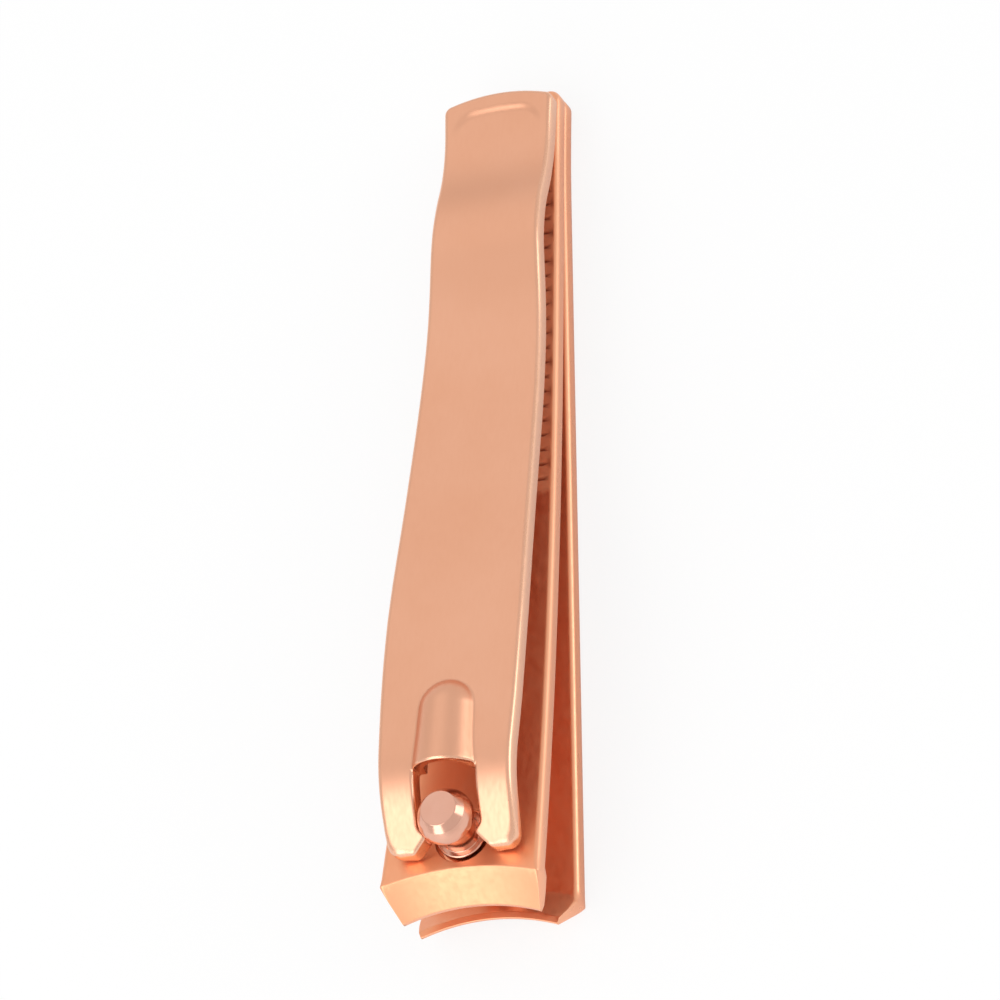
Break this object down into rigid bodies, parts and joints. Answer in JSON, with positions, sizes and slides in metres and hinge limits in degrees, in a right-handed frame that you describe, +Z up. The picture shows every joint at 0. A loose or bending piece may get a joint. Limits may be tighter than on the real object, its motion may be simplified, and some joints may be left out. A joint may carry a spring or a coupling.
{
  "type": "lever nail clipper",
  "caption": "Lever-type nail clipper in rose-gold plated steel: two sprung arms with curved jaws, a headed pin and a forked thumb lever folded flat for storage.",
  "frame": {"origin": "centre of the bounding box's bottom face, in the plane of the lower arm's flat underside", "axes": "+X across the body, +Y from the jaws to the tail, +Z up towards the lever"},
  "size_m": [0.011, 0.06, 0.0126],
  "materials": {
    "arm_plating": "satin rose gold plating",
    "pin_plating": "polished rose gold plating",
    "lever_plating": "satin rose gold plating"
  },
  "bodies": {
    "lower_arm": {"lower_arm": "arm_plating", "tail_rivet": "pin_plating"},
    "upper_arm": {"upper_arm": "arm_plating"},
    "pin": {"pin": "pin_plating"},
    "lever": {"lever": "lever_plating"}
  },
  "joints": [
    {"name": "jaw_squeeze", "type": "hinge", "parent": "lower_arm", "child": "upper_arm", "pos_m": [0, 0.025, 0.00127], "axis": [1, 0, 0], "range_deg": [0, 2.65], "stiffness_Nm_per_rad": 12},
    {"name": "pin_turn", "type": "hinge", "parent": "lower_arm", "child": "pin", "pos_m": [0, -0.02582, 0], "axis": [0, 0.1045, 0.9945], "continuous": true},
    {"name": "lever_flip", "type": "hinge", "parent": "pin", "child": "lever", "pos_m": [0, -0.0256, 0.0093], "axis": [1, 0, 0], "range_deg": [0, 150]}
  ]
}
